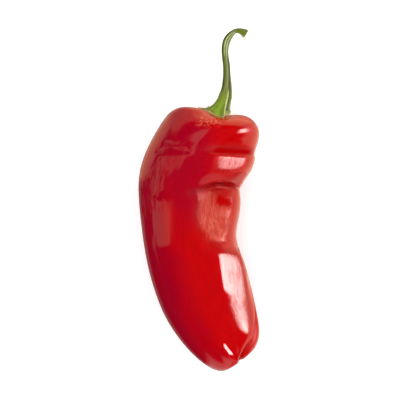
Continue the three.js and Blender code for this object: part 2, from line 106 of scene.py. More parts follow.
# Folds, grooves and swellings that run along a path over the skin. Each point of a path is a section's
# number, a direction and a strength. wide_right, wide_left: how far the form reaches to the right and
# the left of its path's run, seen from outside, in mm. sharp: how crisply it ends. height: how far it
# stands out, and pull: how far it carries the skin toward the tip, in mm.
Form = namedtuple("Form", "wide_right wide_left sharp height pull path")
FORMS = {
    "valley under the shoulders": Form(1.7, 8.0, 2.0, -2.7, 0, [
        (5.2, 150, 0), (5.15, 125, 0.1), (5.13, 100, 0.05), (5.11, 85, 0.4), (5.12, 72, 0.9),
        (5.14, 58, 1), (5.19, 42, 0.9), (5.23, 25, 0.5), (5.25, -20, 0.2), (5.2, -60, 0)]),
    "crest of the right shoulder": Form(5.0, 5.4, 2.0, 1.3, 0, [
        (3.72, 72, 0), (3.78, 44, 1), (3.78, 24, 0.9), (3.72, 4, 0)]),
    "roll above the chin": Form(5.6, 6.0, 2.4, 1.0, 0, [
        (5.8, 40, 0), (5.85, 20, 0.6), (5.95, -15, 0.4), (6.1, -50, 0)]),
    "fold under the chin": Form(4.6, 4.6, 1.7, -3.2, 0, [
        (7.25, 84, 0), (7.1, 75, 0.5), (6.95, 66, 0.9), (6.9, 55, 1), (6.92, 42, 1), (6.98, 26, 0.85),
        (7.05, 10, 0.5), (7.2, -12, 0.3), (7.5, -34, 0.15), (7.75, -55, 0)]),
    "lip of the chin": Form(3.2, 1.8, 2.0, -0.2, 1.3, [
        (6.95, 76, 0), (6.66, 62, 0.8), (6.62, 45, 1), (6.7, 20, 0.7), (6.85, -10, 0.4),
        (7.05, -34, 0)]),
    "slope below the fold": Form(8.0, 1.0, 1.8, -3.0, 0, [
        (7.2, 84, 0), (7.02, 71, 0.25), (6.93, 58, 0.9), (6.94, 47, 1), (7.0, 30, 0.3), (7.1, 18, 0)]),
    "groove between the front and the rear lobe": Form(2.6, 2.2, 1.5, -1.6, 0, [
        (10.3, 2, 0), (11.5, -2, 0.25), (12.6, 3, 0.6), (13.6, 8, 0.8), (14.4, 22, 1), (15, 38, 1.2),
        (15.6, 62, 1.6), (16.2, 80, 1.2)]),
    "groove along the underside": Form(6.5, 6.5, 2.0, -2.6, 0, [
        (0.8, 266, 0), (2.5, 267, 1), (5, 268, 0.8), (7.5, 272, 0.4), (9.5, 276, 0)]),
    "resting swell of the right shoulder": Form(7.5, 7.5, 2.0, 2.3, 0, [
        (3.9, 298, 0), (4.9, 295, 1), (5.8, 293, 0)]),
    "swell of the left shoulder": Form(7.5, 7.5, 2.0, 1.0, 0, [
        (3.7, 240, 0), (4.6, 242, 1), (5.6, 244, 0)]),
    "resting swell of the belly": Form(8.5, 8.5, 2.0, 2.0, 0, [
        (6.8, 252, 0), (8, 255, 1), (9.2, 257, 0)]),
    "resting swell near the tip": Form(8.0, 8.0, 2.0, 0.8, 0, [
        (12, 268, 0), (12.9, 270, 1), (13.9, 272, 0)]),
    "sag in front of the stalk": Form(14.0, 14.0, 2.0, -1.5, 0, [
        (0.5, 66, 0), (1.5, 66, 1), (2.6, 68, 0.6), (3.6, 70, 0)]),
    "rise to the left of the stalk": Form(12.0, 12.0, 2.0, 1.0, 0, [
        (0.5, 122, 0), (1.5, 122, 1), (2.7, 124, 0)]),
    "dimple of the blossom scar": Form(2.0, 2.0, 1.6, -2.0, 0, [
        (15.9, 70, 1), (16.4, 80, 1), (17, 90, 1)]),
    # From here on, creases and small swellings that only the finer skin has.
    "knob at the left end of the valley": Form(5.5, 5.5, 2.0, 1.3, 0, [
        (5.3, 108, 0), (5.28, 101, 1), (5.25, 94, 1), (5.2, 87, 0)]),
    "pinch at the left end of the valley": Form(1.0, 1.2, 1.5, -0.6, 0, [
        (5.3, 146, 0), (5.15, 137, 0.7), (5.0, 126, 0.2), (5.1, 112, 0.8), (5.2, 98, 0.3),
        (5.1, 84, 0)]),
    "second pinch beside it": Form(0.9, 1.1, 1.5, -0.5, 0, [
        (4.75, 142, 0), (4.7, 132, 0.9), (4.8, 120, 0.6), (4.75, 110, 0)]),
    "crease in the chin's fold": Form(0.7, 0.8, 1.5, -0.9, 0, [
        (7.2, 82, 0), (7.08, 75, 0.6), (6.93, 66, 1), (6.87, 55, 1), (6.9, 43, 1), (6.98, 26, 1),
        (7.1, 8, 0.6), (7.25, -14, 0)]),
    "second crease below it": Form(0.6, 0.6, 1.5, -0.45, 0, [
        (7.32, 74, 0), (7.22, 62, 1), (7.18, 45, 1), (7.22, 25, 0)]),
    "pleat at the top of the waist": Form(1.2, 1.0, 1.6, -0.7, 0, [
        (7.25, 66, 0), (7.45, 64.5, 1), (7.75, 64, 0.8), (8.15, 65, 0)]),
    "crown of the left shoulder": Form(5.0, 7.0, 2.0, 1.1, 0, [
        (3.3, 166, 0), (2.8, 150, 1), (2.5, 138, 1), (2.35, 122, 0.8), (2.4, 108, 0)]),
    "fine seam of the front lobe": Form(1.0, 1.3, 1.6, 0.7, 0, [
        (9.6, 82, 0), (10.1, 81, 0.8), (10.9, 80, 0.8), (11.8, 79, 0)]),
    "fine seam of the left lobe": Form(0.8, 1.1, 1.6, 0.5, 0, [
        (9, 137, 0), (9.6, 136, 1), (11, 135, 1), (12.8, 133, 0)]),
}

# Patches with a finish of their own, drawn along a path like the forms, but with no height.
# satin: the roll above the chin. puckered: the waist, between the dull bands "pinched" and "thin wax".
# strip: the cheek. pleated: below the calyx. crimson: the left half of the top. crumpled: the left
# shoulder. folded: the valley under the shoulders. tucked: the fold under the chin.
Patch = namedtuple("Patch", "wide_right wide_left sharp path")
PATCHES = {
    "puckered": Patch(9.5, 13.0, 4.0, [
        (7.2, 46, 0.4), (7.6, 54, 1), (8.3, 65, 1), (9.0, 61, 1), (9.7, 52, 1), (10.3, 44, 0)]),
    "satin": Patch(6.0, 6.0, 3.0, [
        (5.85, 78, 0), (5.85, 66, 1), (5.85, 42, 0.8), (5.85, 26, 0)]),
    "strip": Patch(9.0, 9.0, 4.0, [
        (10.2, 40, 0), (10.9, 42, 1), (12.5, 44, 1), (13.7, 48, 1), (14.4, 50, 0)]),
    "shoulder": Patch(4.5, 4.5, 3.0, [
        (3.75, 60, 0), (3.75, 44, 1), (3.75, 24, 1), (3.75, 8, 0)]),
    "rear lobe": Patch(4.5, 4.5, 3.0, [
        (13.2, 4, 0), (14.0, 12, 1), (14.8, 27, 1), (15.3, 38, 1), (15.8, 56, 0)]),
    "pleated": Patch(6.0, 5.0, 3.0, [
        (3.1, 112, 0), (3.15, 102, 1), (3.2, 82, 0.9), (3.2, 68, 0)]),
    "flank": Patch(14.0, 10.0, 3.0, [
        (4.9, 130, 0.2), (5.5, 130, 0.8), (6.3, 132, 1), (7.3, 137, 1), (8.1, 139, 1), (8.7, 136, 0)]),
    "crimson": Patch(9.0, 11.0, 2.5, [
        (3.2, 112, 0), (4.2, 108, 1), (6.0, 98, 1), (8.0, 92, 0.8), (9.8, 90, 0)]),
    "crumpled": Patch(3.5, 4.5, 2.5, [
        (4.5, 148, 0.4), (4.75, 130, 1), (4.95, 108, 1), (5.15, 94, 0.6), (5.2, 84, 0)]),
    "folded": Patch(1.4, 4.0, 2.5, [
        (5.11, 90, 0), (5.12, 76, 1), (5.14, 58, 1), (5.19, 42, 1), (5.23, 25, 1), (5.25, 0, 0)]),
    "tucked": Patch(3.0, 1.4, 4.0, [
        (7.4, 96, 0), (7.2, 84, 1), (6.97, 64, 1), (6.93, 46, 1), (6.98, 28, 1), (7.1, 6, 0)]),
    "pinched": Patch(3.6, 4.2, 3.0, [
        (7.7, 61, 0), (7.76, 54, 1), (7.85, 44, 1), (7.95, 36, 0.8), (8.0, 26, 0)]),
    "thin wax": Patch(3.0, 4.0, 3.0, [
        (9.0, 80, 0), (9.5, 76, 1), (10.05, 68, 1), (10.35, 58, 0.8), (10.5, 48, 0)]),
    "blossom scar": Patch(2.2, 2.2, 2.0, [
        (15.9, 70, 0.8), (16.4, 80, 1), (17, 90, 1)]),
}

# Ripples of the skin, in mm: wide round the fruit, long along it and high out from it, and the patch
# that each kind is on.
Ripple = namedtuple("Ripple", "wide long high patch")
RIPPLES = {
    "growth": Ripple(2.8, 16.0, 0.07, "everywhere"),
    "flank": Ripple(2.0, 10.0, 1.1, "flank"),
    "pleats": Ripple(1.3, 9.0, 0.5, "pleated"),
    "pucker": Ripple(1.0, 5.0, 0.2, "puckered"),
    "crumple": Ripple(2.2, 1.5, 0.55, "crumpled"),
}
BARE_UNDER_CALYX = (1.6, 2.6)  # the sections between which ripples begin
SECTION_SPACING = 10.5  # mm along the skin from one section to the next
DEGREE_SPACING = 0.47  # mm round the skin for each degree
CURVE_STEPS = 6  # straight steps in each span of a path
NEAR_POLE = 0.02  # the nearest that a slope is taken to a pole, and its step, in sections
NEARBY = 0.05  # how far on each side a direction is taken, in sections or points of a line
RESTING_SOFTNESS = 0.05  # how softly the skin comes down on the surface, in mm

# The stem grows out of the dip between the shoulders, bends to and fro, and hooks over at the cut.
STALK_LINE = [
    (9.2, 46.0, 27.0), (13.2, 53.6, 28.0), (15.1, 59.8, 29.2), (15.8, 66.5, 30.4), (15.8, 73.2, 31.2),
    (15.1, 78.8, 31.6), (14.9, 83.3, 31.6), (15.7, 87.6, 31.2), (17.6, 91.0, 30.6), (20.6, 93.6, 30.0),
    (23.5, 93.5, 29.6), (26.3, 92.0, 29.2), (29.0, 90.3, 29.0),
]
# Half the stalk's thickness at each of those points, in the plane of its bends and across it.
HALF_WIDTH = [4.6, 4.2, 2.65, 2.1, 1.9, 1.8, 1.85, 2.0, 1.7, 1.15, 1.7, 2.8, 3.2]
HALF_DEPTH = [4.2, 3.6, 2.5, 2.1, 1.9, 1.8, 1.8, 1.8, 1.8, 1.8, 2.1, 2.6, 2.9]
CUT_AT = 11.0  # the point of the line at the cut end
FLARE_UNTIL = 1.7  # the point of the line where the calyx has become the stalk
# Longer grooves and ribs of the stalk: direction and width in degrees, height in mm, and the points
# of the line where each starts, is full, eases off and ends.
Relief = namedtuple("Relief", "facing wide height start full ease end")
STALK_RELIEF = {
    "deep slot": Relief(23, 12, -1.0, 0.55, 0.8, 2.6, 4.2),
    "side rib": Relief(-3, 12, 1.4, 0.6, 0.8, 1.6, 4.0),
    "groove": Relief(112, 14, -0.35, 2.4, 3.5, 8.5, 10),
}
# The cut face, from its edge to its hollowed middle: share of the half thickness, and how far out.
CUT_FACE = [(0.97, 0.12), (0.9, 0.25), (0.75, 0.15), (0.6, 0.0), (0.3, -0.3), (0.0, -0.4)]

# The calyx lies on the shoulder like a skirt, with six corners that end in small teeth. reach: how far
# the corner goes out, in sections. curl: how far its tooth lifts, in mm.
Corner = namedtuple("Corner", "facing reach curl")
CORNERS = [
    Corner(5, 0.30, 1.6), Corner(62, 0.42, 0), Corner(118, 0.05, 0),
    Corner(180, 0.25, 0.8), Corner(245, 0.35, 4.5), Corner(308, 0.30, 0.5),
]
RIM_REACH = 1.12  # the rim between the corners, in sections from the pole
CORNER_WIDTH = 15  # degrees
TOOTH_WIDTH = 9  # degrees
RIM_THICKNESS = 0.9  # mm
RIM_UNDERCUT = 0.97  # where the underside ends, as a share of the way to the rim
UNDERCUT_CURL = 0.85  # how much of a tooth's lift the underside has there
LATE_CURL = 4  # how late the underside starts to lift, on its way out
RIM_TOP = 0.96  # where the upper side starts, as the same share
TOP_CURL = 0.9  # how much of a tooth's lift the upper side has there
FLARE_KEEP = 0.72  # how far the upper side stays down on the shoulder, as a share of the reach
FLARE_SKEW = 0.25  # how much more of it on the right, and less on the left
FLARE_HEIGHT = 1.7  # how high its curve is pulled there, in mm
FLARE_RUN = 5.5  # how far back along the stalk its curve is pulled, in mm
SKIRT_GAP = 0.03  # the calyx all but touches the skin, in mm

# How finely the surfaces are divided.
SPACING_SAMPLES = 3000  # places at which the skin's length is measured
FRUIT_RINGS = 338
FRUIT_FACETS = 288
CHIN = (7.0, 0.55)  # the section at the chin's fold, and how far on each side the rings lie closer
CHIN_CLOSER = 1.6  # how many rings are added for each ring, at the fold itself
STEM_FACETS = 120
UNDER_RINGS = 14
FLARE_RINGS = 40
STALK_RINGS = 150


# Curves and vectors

def smooth(start, end, x):
    """Rises from 0 to 1 between start and end."""
    share = np.clip((x - start) / (end - start), 0, 1)
    return share * share * (3 - 2 * share)


def windowed(x, form):
    """Rises between a form's start and full, and falls back between its ease and end."""
    return smooth(form.start, form.full, x) * (1 - smooth(form.ease, form.end, x))


def turn(degrees, facing):
    """The signed angle from one direction to another."""
    return (degrees - facing + 180) % 360 - 180


def cosine_and_sine(degrees):
    turned = np.radians(degrees)
    return np.cos(turned), np.sin(turned)


def bell(distance, width):
    return np.exp(-((distance / width) ** 2))


def scaled(vector, amount):
    return vector * np.asarray(amount)[..., None]


def unit(vector):
    nearly_zero = 1e-9
    return vector / np.maximum(np.linalg.norm(vector, axis=-1, keepdims=True), nearly_zero)


def catmull_rom(a, b, c, d, f):
    """The smooth curve through four points in turn, from the second to the third."""
    return 0.5 * (2 * b + (c - a) * f + (2 * a - 5 * b + 4 * c - d) * f ** 2
                  + (3 * b - a - 3 * c + d) * f ** 3)


# The fruit's body

def section_parts():
    """Each section's middle, half span to the right edge, half span upward, and skew upward."""
    middle, across, up, skew = [], [], [], []
    for section in SECTIONS:
        left = np.array([*section.left, section.middle])
        right = np.array([*section.right, section.middle])
        middle.append((left + right) / 2)
        across.append((right - left) / 2)
        up.append([0, 0, (section.rise + section.drop) / 2])
        skew.append([0, -section.lean, (section.rise - section.drop) / 2])
    skew = np.array(skew)
    # The skew passes through zero at both poles, where the section has no upper side.
    skew[0] = -skew[1] / 2
    skew[-1] = -skew[-2] / 2
    return np.array(middle), np.array(across), np.array(up), skew


MIDDLE, ACROSS, UP, SKEW = section_parts()


def blended(parts, station, changes_sign=False):
    """A uniform cubic B-spline along the sections. Past a pole the surface comes back on its other
    side, so the spans change sign there and the poles stay smooth."""
    first = np.clip(np.floor(station).astype(int), 0, LAST - 1)
    f = (station - first)[..., None]
    weights = ((1 - f) ** 3, 3 * f ** 3 - 6 * f ** 2 + 4, -3 * f ** 3 + 3 * f ** 2 + 3 * f + 1, f ** 3)
    total = 0
    for k, weight in enumerate(weights):
        index = first + k - 1
        mirrored = (index < 0) | (index > LAST)
        inside = np.where(index > LAST, 2 * LAST - index, np.abs(index))
        sign = np.where(mirrored & changes_sign, -1.0, 1.0)[..., None]
        total = total + parts[inside] * weight * sign / 6
    return total


def body(station, degrees):
    """The smooth body, before any fold."""
    dip = sum(d.depth * windowed(station, d) * bell(turn(degrees, d.facing), d.wide) for d in LOBE_DIPS)
    cosine, sine = cosine_and_sine(degrees)
    return (blended(MIDDLE, station)
            + scaled(blended(ACROSS, station, True), (1 - dip) * cosine)
            + scaled(blended(UP, station, True), (1 - dip) * sine)
            + scaled(blended(SKEW, station), sine ** 2))


def skin_normal(station, degrees):
    """Straight out from the smooth body."""
    half_degree = 0.5
    here = np.clip(station, NEAR_POLE, LAST - NEAR_POLE)
    before = body(np.maximum(here - NEAR_POLE, NEAR_POLE), degrees)
    after = body(np.minimum(here + NEAR_POLE, LAST - NEAR_POLE), degrees)
    round_it = body(here, degrees + half_degree) - body(here, degrees - half_degree)
    return unit(np.cross(round_it, after - before))


def tipward(station):
    after = blended(MIDDLE, np.minimum(station + NEARBY, LAST))
    return unit(after - blended(MIDDLE, np.maximum(station - NEARBY, 0)))


def face_turned(face):
    """Which way a face looks, and the middle of its plane."""
    (right, stalkward), (up, outward) = cosine_and_sine(face.azimuth), cosine_and_sine(face.tilt)
    toward = np.array([outward * right, outward * stalkward, up])
    station, degrees = np.array([float(face.station)]), np.array([float(face.facing)])
    return toward, (body(station, degrees) + skin_normal(station, degrees) * face.out)[0]


def press_faces(point, station, degrees):
    """Presses the soft faces into the body."""
    for face in FACES.values():
        toward, middle = face_turned(face)
        cosine, sine = cosine_and_sine(face.slant)
        ahead = (station - face.station) * SECTION_SPACING
        aside = turn(degrees, face.facing) * DEGREE_SPACING
        off = (np.abs((ahead * cosine + aside * sine) / face.long) ** face.sharp
               + np.abs((aside * cosine - ahead * sine) / face.round) ** face.sharp)
        share = (1 - face.keep) * np.exp(-off)
        point = point - scaled(toward, share * ((point - middle) @ toward))
    return point


def rounded(path):
    """A path as a smooth curve of short straight steps."""
    points = np.array(path, float)
    through = np.vstack([2 * points[0] - points[1], points, 2 * points[-1] - points[-2]])
    curve = [catmull_rom(*through[i:i + 4], step / CURVE_STEPS)
             for i in range(len(points) - 1) for step in range(CURVE_STEPS)]
    return np.array(curve + [points[-1]])


def felt(form, station, degrees):
    """How strongly a form or a patch is felt: its strength on its path, fading to each side."""
    nearest = np.full(station.shape, np.inf)
    strength, side = np.zeros(station.shape), np.zeros(station.shape)
    curve = rounded(form.path)
    for a, b in zip(curve[:-1], curve[1:]):
        span_x, span_y = (b[0] - a[0]) * SECTION_SPACING, (b[1] - a[1]) * DEGREE_SPACING
        to_x, to_y = (station - a[0]) * SECTION_SPACING, turn(degrees, a[1]) * DEGREE_SPACING
        share = np.clip((to_x * span_x + to_y * span_y) / (span_x ** 2 + span_y ** 2), 0, 1)
        off_x, off_y = to_x - share * span_x, to_y - share * span_y
        distance = np.hypot(off_x, off_y)
        nearer = distance < nearest
        nearest = np.where(nearer, distance, nearest)
        strength = np.where(nearer, a[2] + (b[2] - a[2]) * share, strength)
        side = np.where(nearer, span_x * off_y - span_y * off_x, side)
    width = np.where(side > 0, form.wide_right, form.wide_left)
    return strength * np.exp(-((nearest / width) ** form.sharp))


def skin(station, degrees):
    """The finished skin, before it settles on the surface."""
    point = press_faces(body(station, degrees), station, degrees)
    normal, toward_tip = skin_normal(station, degrees), tipward(station)
    for form in FORMS.values():
        share = felt(form, station, degrees)
        point = point + scaled(normal, share * form.height) + scaled(toward_tip, share * form.pull)
    return point


def settled(point):
    """Lets the skin lie flat where it comes down on the surface."""
    point = point.copy()
    point[..., 2] = RESTING_SOFTNESS * np.logaddexp(0, point[..., 2] / RESTING_SOFTNESS)
    return point


# The stem

def along(values, index):
    """A smooth value at a place along a list of numbers or points."""
    values = np.array(values, float)
    values = values if values.ndim > 1 else values[:, None]
    i = np.clip(np.floor(index).astype(int), 0, len(values) - 2)
    at = [values[np.clip(i + k, 0, len(values) - 1)] for k in (-1, 0, 1, 2)]
    result = catmull_rom(*at, (index - i)[..., None])
    return result if result.shape[-1] == 3 else result[..., 0]


def stalk_frame(index):
    """The stalk's own directions at a place: forward along it, to its right, and up."""
    forward = unit(along(STALK_LINE, index + NEARBY) - along(STALK_LINE, index - NEARBY))
    right = unit(np.cross(forward, (0, 0, 1)))
    return forward, right, np.cross(right, forward)


def stalk(index, degrees):
    """The stalk's surface, oval, with its longer grooves and ribs."""
    _, right, up = stalk_frame(index)
    relief = sum(r.height * bell(turn(degrees, r.facing), r.wide) * windowed(index, r)
                 for r in STALK_RELIEF.values())
    half_width, half_depth = along(HALF_WIDTH, index) + relief, along(HALF_DEPTH, index) + relief
    cosine, sine = cosine_and_sine(degrees)
    return along(STALK_LINE, index) + scaled(right, half_width * cosine) + scaled(up, half_depth * sine)


def over_shoulder(share, degrees, height, curl_share):
    """A place over the shoulder: a share of the way out to the calyx's rim, at a height."""
    reach = RIM_REACH + sum(c.reach * bell(turn(degrees, c.facing), CORNER_WIDTH) for c in CORNERS)
    curl = sum(c.curl * bell(turn(degrees, c.facing), TOOTH_WIDTH) for c in CORNERS)
    station = np.maximum(reach * share, NEAR_POLE)
    lift = SKIRT_GAP + height + curl * curl_share
    return skin(station, degrees) + scaled(skin_normal(station, degrees), lift)


def flare(share, degrees):
    """The calyx's upper side: from the rim it sweeps in over the shoulder and up into the stalk."""
    keep = FLARE_KEEP + FLARE_SKEW * cosine_and_sine(degrees)[0]
    top = np.full(degrees.shape, FLARE_UNTIL)
    root = stalk(top, degrees)
    a = over_shoulder(RIM_TOP, degrees, RIM_THICKNESS, TOP_CURL)
    b = over_shoulder(keep, degrees, FLARE_HEIGHT, 0)
    c = root - stalk_frame(top)[0] * FLARE_RUN
    return ((1 - share) ** 3 * a + 3 * (1 - share) ** 2 * share * b
            + 3 * (1 - share) * share ** 2 * c + share ** 3 * root)


# Meshes

def spun_mesh(name, rings, attributes):
    """A closed mesh from rings of points. The first and the last ring are single points."""
    first, last = rings[0][0], rings[-1][0]
    inner = np.array(rings[1:-1])
    count, facets = inner.shape[:2]
    points = np.vstack([first, inner.reshape(-1, 3), last]) * MM
    number = 1 + np.arange(count * facets).reshape(count, facets)
    after = np.roll(number, -1, axis=1)
    quads = np.stack([number[:-1], number[1:], after[1:], after[:-1]], -1).reshape(-1, 4)
    end = len(points) - 1
    caps = [(0, a, b) for a, b in zip(number[0], after[0])]
    caps += [(end, b, a) for a, b in zip(number[-1], after[-1])]
    mesh = bpy.data.meshes.new(name)
    mesh.from_pydata(points, [], [tuple(map(int, face)) for face in [*quads, *caps]])
    mesh.polygons.foreach_set("use_smooth", [True] * len(mesh.polygons))
    for key, values in attributes.items():
        values = [values[0][:1], *values[1:-1], values[-1][:1]]
        flat = np.concatenate([np.asarray(v, float).reshape(len(v), -1) for v in values])
        kind = "FLOAT" if flat.shape[1] == 1 else "FLOAT_VECTOR"
        field = "value" if flat.shape[1] == 1 else "vector"
        mesh.attributes.new(key, kind, "POINT").data.foreach_set(field, flat.ravel())
    mesh.update()
    return mesh


def placed(name, data):
    """Puts a mesh, a light or a camera in the scene."""
    made = bpy.data.objects.new(name, data)
    bpy.context.scene.collection.objects.link(made)
    return made


def ring_stations():
    """The rings' section numbers: evenly spaced along the skin, and closer at the chin's fold."""
    fine = np.linspace(0, LAST, SPACING_SAMPLES)
    edge = body(fine, np.zeros(fine.shape))
    top = body(fine, np.full(fine.shape, 90.0))
    step = sum(np.linalg.norm(np.diff(line, axis=0), axis=1) for line in (edge, top)) / 2
    closer = 1 + CHIN_CLOSER * bell(fine[1:] - CHIN[0], CHIN[1])
    length = np.concatenate([[0], np.cumsum(step * closer)])
    return np.interp(np.linspace(0, length[-1], FRUIT_RINGS + 1), length, fine)


def fruit_mesh():
    degrees = np.arange(FRUIT_FACETS) * 360 / FRUIT_FACETS
    station, degrees = np.meshgrid(ring_stations(), degrees, indexing="ij")
    points = settled(skin(station, degrees))
    # Where each point would be on a straightened fruit, in mm. Patterns that run with its growth use it.
    radius = np.linalg.norm(blended(ACROSS, station, True), axis=-1)
    cosine, sine = cosine_and_sine(degrees)
    straight = np.stack([radius * cosine, -station * SECTION_SPACING, radius * sine], -1)
    patches = {name: felt(patch, station, degrees) for name, patch in PATCHES.items()}
    patches["everywhere"] = smooth(*BARE_UNDER_CALYX, station)
    return spun_mesh("fruit_skin", points, {"straight": straight, **patches})


def stem_mesh():
    degrees = np.arange(STEM_FACETS) * 360.0 / STEM_FACETS
    pole = np.zeros(degrees.shape)
    rings, places = [], []
    for k in range(UNDER_RINGS):
        share = k / (UNDER_RINGS - 1)
        turned = degrees if k else pole
        rings.append(over_shoulder(RIM_UNDERCUT * share, turned, 0, UNDERCUT_CURL * share ** LATE_CURL))
        places.append(-share)
    rings.append(over_shoulder(1, degrees, RIM_THICKNESS / 2, 1))
    places.append(-1)
    for k in range(FLARE_RINGS + 1):
        rings.append(flare(k / FLARE_RINGS, degrees))
        places.append(k / FLARE_RINGS * FLARE_UNTIL)
    for k in range(1, STALK_RINGS + 1):
        index = FLARE_UNTIL + (CUT_AT - FLARE_UNTIL) * k / STALK_RINGS
        rings.append(stalk(np.full(degrees.shape, index), degrees))
        places.append(index)
    cut = np.full(degrees.shape, CUT_AT)
    centre, forward = along(STALK_LINE, cut), stalk_frame(cut)[0]
    edge = rings[-1]
    for inset, out in CUT_FACE:
        rings.append(centre + (edge - centre) * inset + forward * out)
        places.append(CUT_AT + 1 - inset)
    # Which way each point faces, as a point on a circle, and how far along the stem it is.
    circle = np.stack([*cosine_and_sine(degrees), pole], -1)
    grown = [circle + (0, 0, place) for place in places]
    return spun_mesh("stem_tissue", rings, {"grown": grown})


# Node trees

def node(tree, kind, inputs=None, **settings):
    """Adds a node with its settings, sets or links its inputs, and returns its outputs."""
    made = tree.nodes.new(kind)
    for name, value in settings.items():
        setattr(made, name, value)
    for name, value in (inputs or {}).items():
        if isinstance(value, bpy.types.NodeSocket):
            tree.links.new(value, made.inputs[name])
        else:
            made.inputs[name].default_value = value
    return made.outputs


def stretched_noise(tree, place, size, seed, detail, roughness):
    """Noise with blobs of a given size in mm in each direction."""
    stretched = node(tree, "ShaderNodeVectorMath", {0: place, 1: size}, operation="DIVIDE")[0]
    return node(tree, "ShaderNodeTexNoise", {"Vector": stretched, "W": float(seed), "Scale": 1.0,
                "Detail": detail, "Roughness": roughness}, noise_dimensions="4D")[0]


def angle_between(tree, angle, middle):
    """How far an angle is from a middle, to either side."""
    off = node(tree, "ShaderNodeMath", {0: angle, 1: middle}, operation="SUBTRACT")[0]
    off = node(tree, "ShaderNodeMath", {0: off, 1: math.pi, 2: -math.pi}, operation="WRAP")[0]
    return node(tree, "ShaderNodeMath", {0: off}, operation="ABSOLUTE")[0]


def narrowed(tree, share, value, outside, inside):
    """Fades a share in where a value goes from the outside bound to the inside one."""
    within = node(tree, "ShaderNodeMapRange", {"Value": value, "From Min": outside, "From Max": inside},
                  interpolation_type="SMOOTHSTEP")[0]
    return node(tree, "ShaderNodeMath", {0: within, 1: share}, operation="MULTIPLY")[0]


def linear(hex_colour):
    """An sRGB hex colour as linear red, green, blue and alpha."""
    channels = [int(hex_colour[i:i + 2], 16) / 255 for i in (1, 3, 5)]
    return (*[c / 12.92 if c <= 0.04045 else ((c + 0.055) / 1.055) ** 2.4 for c in channels], 1.0)


def relief_tree(name, sizes):
    """Starts a Geometry Nodes tree that moves a mesh's points, and returns its inputs."""
    tree = bpy.data.node_groups.new(name, "GeometryNodeTree")
    tree.interface.new_socket("Geometry", in_out="INPUT", socket_type="NodeSocketGeometry")
    for label, value in sizes.items():
        socket = tree.interface.new_socket(label, in_out="INPUT", socket_type="NodeSocketFloat")
        socket.default_value = value
    tree.interface.new_socket("Material", in_out="INPUT", socket_type="NodeSocketMaterial")
    tree.interface.new_socket("Geometry", in_out="OUTPUT", socket_type="NodeSocketGeometry")
    return tree, node(tree, "NodeGroupInput")


def end_relief(tree, given, height):
    """Moves the points along their normals by a height, and ends the tree."""
    normal = node(tree, "GeometryNodeInputNormal")["Normal"]
    offset = node(tree, "ShaderNodeVectorMath", {0: normal, "Scale": height}, operation="SCALE")[0]
    moved = node(tree, "GeometryNodeSetPosition", {"Geometry": given["Geometry"], "Offset": offset})[0]
    real = node(tree, "GeometryNodeRealizeInstances", {"Geometry": moved})[0]
    painted = node(tree, "GeometryNodeSetMaterial",
                   {"Geometry": real, "Material": given["Material"]})[0]
    node(tree, "NodeGroupOutput", {"Geometry": painted})


def skin_ripples():
    """Fine ripples that run with the fruit's growth, each kind on its own patch of the skin."""
    sizes = {}
    for name, ripple in RIPPLES.items():
        sizes.update({f"{name} width": ripple.wide, f"{name} length": ripple.long,
                      f"{name} height": ripple.high})
    tree, given = relief_tree("skin ripples", sizes)
    straight = node(tree, "GeometryNodeInputNamedAttribute", {"Name": "straight"},
                    data_type="FLOAT_VECTOR")["Attribute"]
    total = 0.0
    for seed, (name, ripple) in enumerate(RIPPLES.items()):
        width, length, height = (given[f"{name} {side}"] for side in ("width", "length", "height"))
        size = node(tree, "ShaderNodeCombineXYZ", {"X": width, "Y": length, "Z": width})[0]
        noise = stretched_noise(tree, straight, size, seed, detail=2.0, roughness=0.5)
        centred = node(tree, "ShaderNodeMath", {0: noise, 1: 0.5}, operation="SUBTRACT")[0]
        share = node(tree, "GeometryNodeInputNamedAttribute", {"Name": ripple.patch},
                     data_type="FLOAT")["Attribute"]
        for factor in (height, share, MM):
            centred = node(tree, "ShaderNodeMath", {0: centred, 1: factor}, operation="MULTIPLY")[0]
        total = node(tree, "ShaderNodeMath", {0: centred, 1: total}, operation="ADD")[0]
    end_relief(tree, given, total)
    return tree


def stalk_ribs():
    """Rounded ribs along the stalk, with fibres between them that are drawn coarser than real ones.
    Ribs, Fibres: how many go round. Heights are in mm. Facing: the direction of the first rib. The rest
    are places along the stem."""
    tree, given = relief_tree("stalk ribs", {
        "Ribs": 5.0, "Ribs height": 0.17, "Fibres": 19.0, "Fibres height": 0.04, "Facing": 100.0,
        "Rise from": 0.1, "Risen at": 1.5, "Fade from": 9.5, "Faded at": 11.2})
    grown = node(tree, "GeometryNodeInputNamedAttribute", {"Name": "grown"},
                 data_type="FLOAT_VECTOR")["Attribute"]
    across, upward, place = node(tree, "ShaderNodeSeparateXYZ", {0: grown})
    angle = node(tree, "ShaderNodeMath", {0: upward, 1: across}, operation="ARCTAN2")[0]
    facing = node(tree, "ShaderNodeMath", {0: given["Facing"]}, operation="RADIANS")[0]
    turned = node(tree, "ShaderNodeMath", {0: angle, 1: facing}, operation="SUBTRACT")[0]
    total = 0.0
    for name in ("Ribs", "Fibres"):
        wave = node(tree, "ShaderNodeMath", {0: turned, 1: given[name]}, operation="MULTIPLY")[0]
        wave = node(tree, "ShaderNodeMath", {0: wave}, operation="COSINE")[0]
        total = node(tree, "ShaderNodeMath", {0: wave, 1: given[f"{name} height"], 2: total},
                     operation="MULTIPLY_ADD")[0]
    for start, end in (("Rise from", "Risen at"), ("Faded at", "Fade from")):
        share = node(tree, "ShaderNodeMapRange",
                     {"Value": place, "From Min": given[start], "From Max": given[end]})[0]
        total = node(tree, "ShaderNodeMath", {0: total, 1: share}, operation="MULTIPLY")[0]
    end_relief(tree, given, node(tree, "ShaderNodeMath", {0: total, 1: MM}, operation="MULTIPLY")[0])
    return tree


